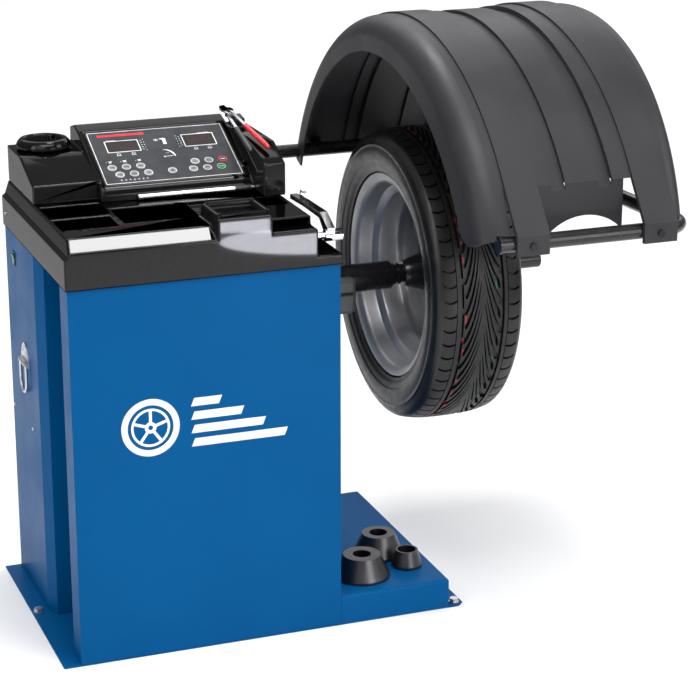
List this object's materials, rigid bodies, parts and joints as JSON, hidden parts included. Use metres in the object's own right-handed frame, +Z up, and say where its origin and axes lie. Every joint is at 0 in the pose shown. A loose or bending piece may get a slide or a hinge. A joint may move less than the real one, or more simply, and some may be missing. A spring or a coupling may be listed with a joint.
{
  "type": "wheel balancer machine",
  "caption": "Floor-standing motorised wheel balancer: sheet cabinet, weight tray, sloped control panel, spindle with mounted wheel and swinging guard.",
  "frame": {"origin": "middle of the base plate's footprint, on the floor", "axes": "+X right, along the spindle towards its free end; +Y back; +Z up"},
  "size_m": [1.1774, 1.0862, 1.268],
  "materials": {
    "blue_paint": "satin powder coat",
    "black_moulding": "gloss, fine woven pattern",
    "guard_plastic": "satin",
    "black_steel": "gloss black",
    "grey_casting": "painted dark grey",
    "steel": "machined",
    "zinc": "zinc plated",
    "chrome": "polished",
    "rim_silver": "silver lacquer",
    "tyre_rubber": "moulded tread",
    "belt_rubber": "matt",
    "panel_grey": "satin film",
    "key_white": "satin",
    "key_red": "satin",
    "key_green": "satin",
    "circuit_board": "satin",
    "red_grip": "dipped, gloss",
    "black_grip": "dipped, gloss",
    "switch_green": "gloss",
    "black_plastic": "satin",
    "cone_black": "blackened, turned",
    "motor_paint": "satin grey",
    "sensor": "plain"
  },
  "bodies": {
    "cabinet": {"base_frame": "blue_paint", "cabinet_body": "blue_paint", "rear_cover": "blue_paint", "mains_inlet": "black_plastic", "cabinet_fasteners": "zinc", "housing_bracket": "grey_casting", "spindle_housing": "black_steel", "bearing_outer_rings": "steel", "motor": "motor_paint", "drive_belt": "belt_rubber", "sensors": "sensor", "weight_tray": "black_moulding", "console_housing": "black_moulding", "control_panel": "panel_grey", "circuit_boards": "circuit_board", "storage_ring": "black_moulding", "switch_housing": "black_plastic", "ring_plate": "zinc", "guard_bracket": "black_steel", "guard_switch": "black_plastic"},
    "spindle": {"spindle_shaft": "black_steel", "hub_flange": "black_steel", "bearing_inner_rings": "steel", "spindle_pulley": "steel", "encoder_disc": "black_plastic", "centring_cone": "cone_black", "cone_spring": "steel", "wheel_barrel": "rim_silver", "wheel_disc": "rim_silver", "tyre": "tyre_rubber"},
    "motor_rotor": {"motor_pulley": "steel"},
    "pressure_cup": {"pressure_cup": "black_plastic"},
    "quick_nut": {"quick_nut": "black_plastic"},
    "guard": {"guard_shell": "guard_plastic", "guard_side_walls": "guard_plastic", "guard_tube": "black_steel", "guard_fixings": "black_steel"},
    "gauge_rod": {"gauge_rod": "chrome"},
    "gauge_arm": {"gauge_arm": "chrome"},
    "pliers_left": {"pliers_left_half": "red_grip"},
    "pliers_right": {"pliers_right_half": "black_grip"},
    "power_rocker": {"power_rocker": "switch_green"},
    "lifting_ring": {"lifting_ring": "zinc"},
    "measuring_bar": {"measuring_bar": "steel"},
    "cone_large": {"cone_large": "cone_black"},
    "cone_medium": {"cone_medium": "cone_black"},
    "cone_small": {"cone_small": "cone_black"},
    "key_mode_1": {"key_mode_1": "key_white"},
    "key_mode_2": {"key_mode_2": "key_white"},
    "key_mode_3": {"key_mode_3": "key_white"},
    "key_step_1": {"key_step_1": "key_white"},
    "key_step_2": {"key_step_2": "key_white"},
    "key_step_3": {"key_step_3": "key_white"},
    "key_centre": {"key_centre": "key_white"},
    "key_side_1": {"key_side_1": "key_white"},
    "key_side_2": {"key_side_2": "key_white"},
    "key_stop": {"key_stop": "key_red"},
    "key_test_1": {"key_test_1": "key_white"},
    "key_test_2": {"key_test_2": "key_white"},
    "key_start": {"key_start": "key_green"}
  },
  "joints": [
    {"name": "spindle_spin", "type": "hinge", "parent": "cabinet", "child": "spindle", "pos_m": [0.196, -0.0065, 0.6746], "axis": [1, 0, 0], "continuous": true},
    {"name": "motor_spin", "type": "hinge", "parent": "cabinet", "child": "motor_rotor", "pos_m": [0.096, -0.0065, 0.4746], "axis": [1, 0, 0], "continuous": true},
    {"name": "nut_slide", "type": "slide", "parent": "spindle", "child": "pressure_cup", "axis": [1, 0, 0], "range_m": [0, 0.05]},
    {"name": "nut_turn", "type": "hinge", "parent": "pressure_cup", "child": "quick_nut", "pos_m": [0.596, -0.0065, 0.6746], "axis": [1, 0, 0], "continuous": true},
    {"name": "guard_swing", "type": "hinge", "parent": "cabinet", "child": "guard", "pos_m": [0.196, 0.315, 0.886], "axis": [-1, 0, 0], "range_deg": [0, 80]},
    {"name": "gauge_pull", "type": "slide", "parent": "cabinet", "child": "gauge_rod", "axis": [1, 0, 0], "range_m": [0, 0.16]},
    {"name": "gauge_turn", "type": "hinge", "parent": "gauge_rod", "child": "gauge_arm", "pos_m": [0.156, -0.23, 0.84], "axis": [1, 0, 0], "range_deg": [0, 100]},
    {"name": "pliers_lift", "type": "slide", "parent": "cabinet", "child": "pliers_left", "axis": [0, 0, 1], "range_m": [0, 0.15]},
    {"name": "pliers_open", "type": "hinge", "parent": "pliers_left", "child": "pliers_right", "pos_m": [0.07099, 0.17467, 1.0129], "axis": [-0.0025, 0.1867, -0.9824], "range_deg": [0, 25]},
    {"name": "rocker_tilt", "type": "hinge", "parent": "cabinet", "child": "power_rocker", "pos_m": [-0.4, 0.195, 0.735], "axis": [0, 1, 0], "range_deg": [0, 16]},
    {"name": "ring_swing", "type": "hinge", "parent": "cabinet", "child": "lifting_ring", "pos_m": [-0.41, 0.127, 0.527], "axis": [0, 1, 0], "range_deg": [0, 90]},
    {"name": "bar_lift", "type": "slide", "parent": "cabinet", "child": "measuring_bar", "axis": [0, 0, 1], "range_m": [0, 0.05]},
    {"name": "cone_large_lift", "type": "slide", "parent": "cabinet", "child": "cone_large", "axis": [0, 0, 1], "range_m": [0, 0.15]},
    {"name": "cone_medium_lift", "type": "slide", "parent": "cabinet", "child": "cone_medium", "axis": [0, 0, 1], "range_m": [0, 0.15]},
    {"name": "cone_small_lift", "type": "slide", "parent": "cabinet", "child": "cone_small", "axis": [0, 0, 1], "range_m": [0, 0.15]},
    {"name": "key_mode_1_press", "type": "slide", "parent": "cabinet", "child": "key_mode_1", "axis": [0, 0.4131, -0.9107], "range_m": [0, 0.0005], "stiffness_N_per_m": 600, "springref_m": -0.0005},
    {"name": "key_mode_2_press", "type": "slide", "parent": "cabinet", "child": "key_mode_2", "axis": [0, 0.4131, -0.9107], "range_m": [0, 0.0005], "stiffness_N_per_m": 600, "springref_m": -0.0005},
    {"name": "key_mode_3_press", "type": "slide", "parent": "cabinet", "child": "key_mode_3", "axis": [0, 0.4131, -0.9107], "range_m": [0, 0.0005], "stiffness_N_per_m": 600, "springref_m": -0.0005},
    {"name": "key_step_1_press", "type": "slide", "parent": "cabinet", "child": "key_step_1", "axis": [0, 0.4131, -0.9107], "range_m": [0, 0.0005], "stiffness_N_per_m": 600, "springref_m": -0.0005},
    {"name": "key_step_2_press", "type": "slide", "parent": "cabinet", "child": "key_step_2", "axis": [0, 0.4131, -0.9107], "range_m": [0, 0.0005], "stiffness_N_per_m": 600, "springref_m": -0.0005},
    {"name": "key_step_3_press", "type": "slide", "parent": "cabinet", "child": "key_step_3", "axis": [0, 0.4131, -0.9107], "range_m": [0, 0.0005], "stiffness_N_per_m": 600, "springref_m": -0.0005},
    {"name": "key_centre_press", "type": "slide", "parent": "cabinet", "child": "key_centre", "axis": [0, 0.4131, -0.9107], "range_m": [0, 0.0005], "stiffness_N_per_m": 600, "springref_m": -0.0005},
    {"name": "key_side_1_press", "type": "slide", "parent": "cabinet", "child": "key_side_1", "axis": [0, 0.4131, -0.9107], "range_m": [0, 0.0005], "stiffness_N_per_m": 600, "springref_m": -0.0005},
    {"name": "key_side_2_press", "type": "slide", "parent": "cabinet", "child": "key_side_2", "axis": [0, 0.4131, -0.9107], "range_m": [0, 0.0005], "stiffness_N_per_m": 600, "springref_m": -0.0005},
    {"name": "key_stop_press", "type": "slide", "parent": "cabinet", "child": "key_stop", "axis": [0, 0.4131, -0.9107], "range_m": [0, 0.0005], "stiffness_N_per_m": 600, "springref_m": -0.0005},
    {"name": "key_test_1_press", "type": "slide", "parent": "cabinet", "child": "key_test_1", "axis": [0, 0.4131, -0.9107], "range_m": [0, 0.0005], "stiffness_N_per_m": 600, "springref_m": -0.0005},
    {"name": "key_test_2_press", "type": "slide", "parent": "cabinet", "child": "key_test_2", "axis": [0, 0.4131, -0.9107], "range_m": [0, 0.0005], "stiffness_N_per_m": 600, "springref_m": -0.0005},
    {"name": "key_start_press", "type": "slide", "parent": "cabinet", "child": "key_start", "axis": [0, 0.4131, -0.9107], "range_m": [0, 0.0005], "stiffness_N_per_m": 600, "springref_m": -0.0005}
  ],
  "couplings": [
    {"joint": "motor_spin", "follows": "spindle_spin", "ratio": 4}
  ]
}
